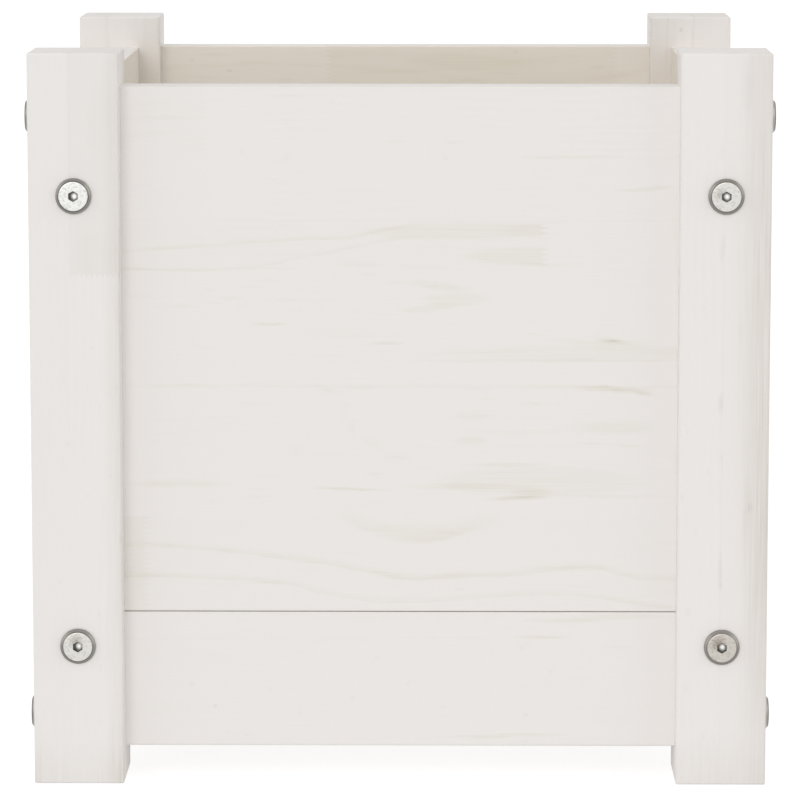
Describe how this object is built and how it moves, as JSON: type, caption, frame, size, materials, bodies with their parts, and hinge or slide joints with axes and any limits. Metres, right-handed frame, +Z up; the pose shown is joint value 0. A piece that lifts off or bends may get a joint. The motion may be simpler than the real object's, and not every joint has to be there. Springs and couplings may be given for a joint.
{
  "type": "square wooden planter box",
  "caption": "Square planter box in white-painted pine: corner posts, panels of two boards held by disc-head bolts, and a slatted floor on cleats inside.",
  "frame": {"origin": "on the ground, in the middle of the footprint", "axes": "+Z up, +Y from the front panel in the picture to the rear, +X to the right as seen from the front"},
  "size_m": [0.3146, 0.3146, 0.31],
  "materials": {
    "painted_pine": "thin off-white paint that lets the grain, the glued joints and small knots of the pine show through, matt to satin",
    "zinc_plated_steel": "bright zinc plating with a faint mottle",
    "yellow_zinc_steel": "yellow passivated zinc"
  },
  "bodies": {
    "root": {"post_front_left": "painted_pine", "post_front_right": "painted_pine", "post_rear_left": "painted_pine", "post_rear_right": "painted_pine", "upper_board_front": "painted_pine", "upper_board_left": "painted_pine", "upper_board_rear": "painted_pine", "upper_board_right": "painted_pine", "lower_board_front": "painted_pine", "lower_board_left": "painted_pine", "lower_board_rear": "painted_pine", "lower_board_right": "painted_pine", "bolt_front_left_front_lower": "zinc_plated_steel", "bolt_front_left_front_upper": "zinc_plated_steel", "bolt_front_left_side_lower": "zinc_plated_steel", "bolt_front_left_side_upper": "zinc_plated_steel", "bolt_front_right_front_lower": "zinc_plated_steel", "bolt_front_right_front_upper": "zinc_plated_steel", "bolt_front_right_side_lower": "zinc_plated_steel", "bolt_front_right_side_upper": "zinc_plated_steel", "bolt_rear_left_rear_lower": "zinc_plated_steel", "bolt_rear_left_rear_upper": "zinc_plated_steel", "bolt_rear_left_side_lower": "zinc_plated_steel", "bolt_rear_left_side_upper": "zinc_plated_steel", "bolt_rear_right_rear_lower": "zinc_plated_steel", "bolt_rear_right_rear_upper": "zinc_plated_steel", "bolt_rear_right_side_lower": "zinc_plated_steel", "bolt_rear_right_side_upper": "zinc_plated_steel", "insert_front_lower_left": "yellow_zinc_steel", "insert_front_lower_right": "yellow_zinc_steel", "insert_front_upper_left": "yellow_zinc_steel", "insert_front_upper_right": "yellow_zinc_steel", "insert_left_lower_front": "yellow_zinc_steel", "insert_left_lower_rear": "yellow_zinc_steel", "insert_left_upper_front": "yellow_zinc_steel", "insert_left_upper_rear": "yellow_zinc_steel", "insert_rear_lower_left": "yellow_zinc_steel", "insert_rear_lower_right": "yellow_zinc_steel", "insert_rear_upper_left": "yellow_zinc_steel", "insert_rear_upper_right": "yellow_zinc_steel", "insert_right_lower_front": "yellow_zinc_steel", "insert_right_lower_rear": "yellow_zinc_steel", "insert_right_upper_front": "yellow_zinc_steel", "insert_right_upper_rear": "yellow_zinc_steel", "cleat_left": "painted_pine", "cleat_right": "painted_pine", "floor_slat_front": "painted_pine", "floor_slat_middle": "painted_pine", "floor_slat_rear": "painted_pine", "slat_screw_front_left": "zinc_plated_steel", "slat_screw_front_right": "zinc_plated_steel", "slat_screw_middle_left": "zinc_plated_steel", "slat_screw_middle_right": "zinc_plated_steel", "slat_screw_rear_left": "zinc_plated_steel", "slat_screw_rear_right": "zinc_plated_steel", "cleat_screw_left_front": "zinc_plated_steel", "cleat_screw_left_rear": "zinc_plated_steel", "cleat_screw_right_front": "zinc_plated_steel", "cleat_screw_right_rear": "zinc_plated_steel"}
  },
  "joints": []
}
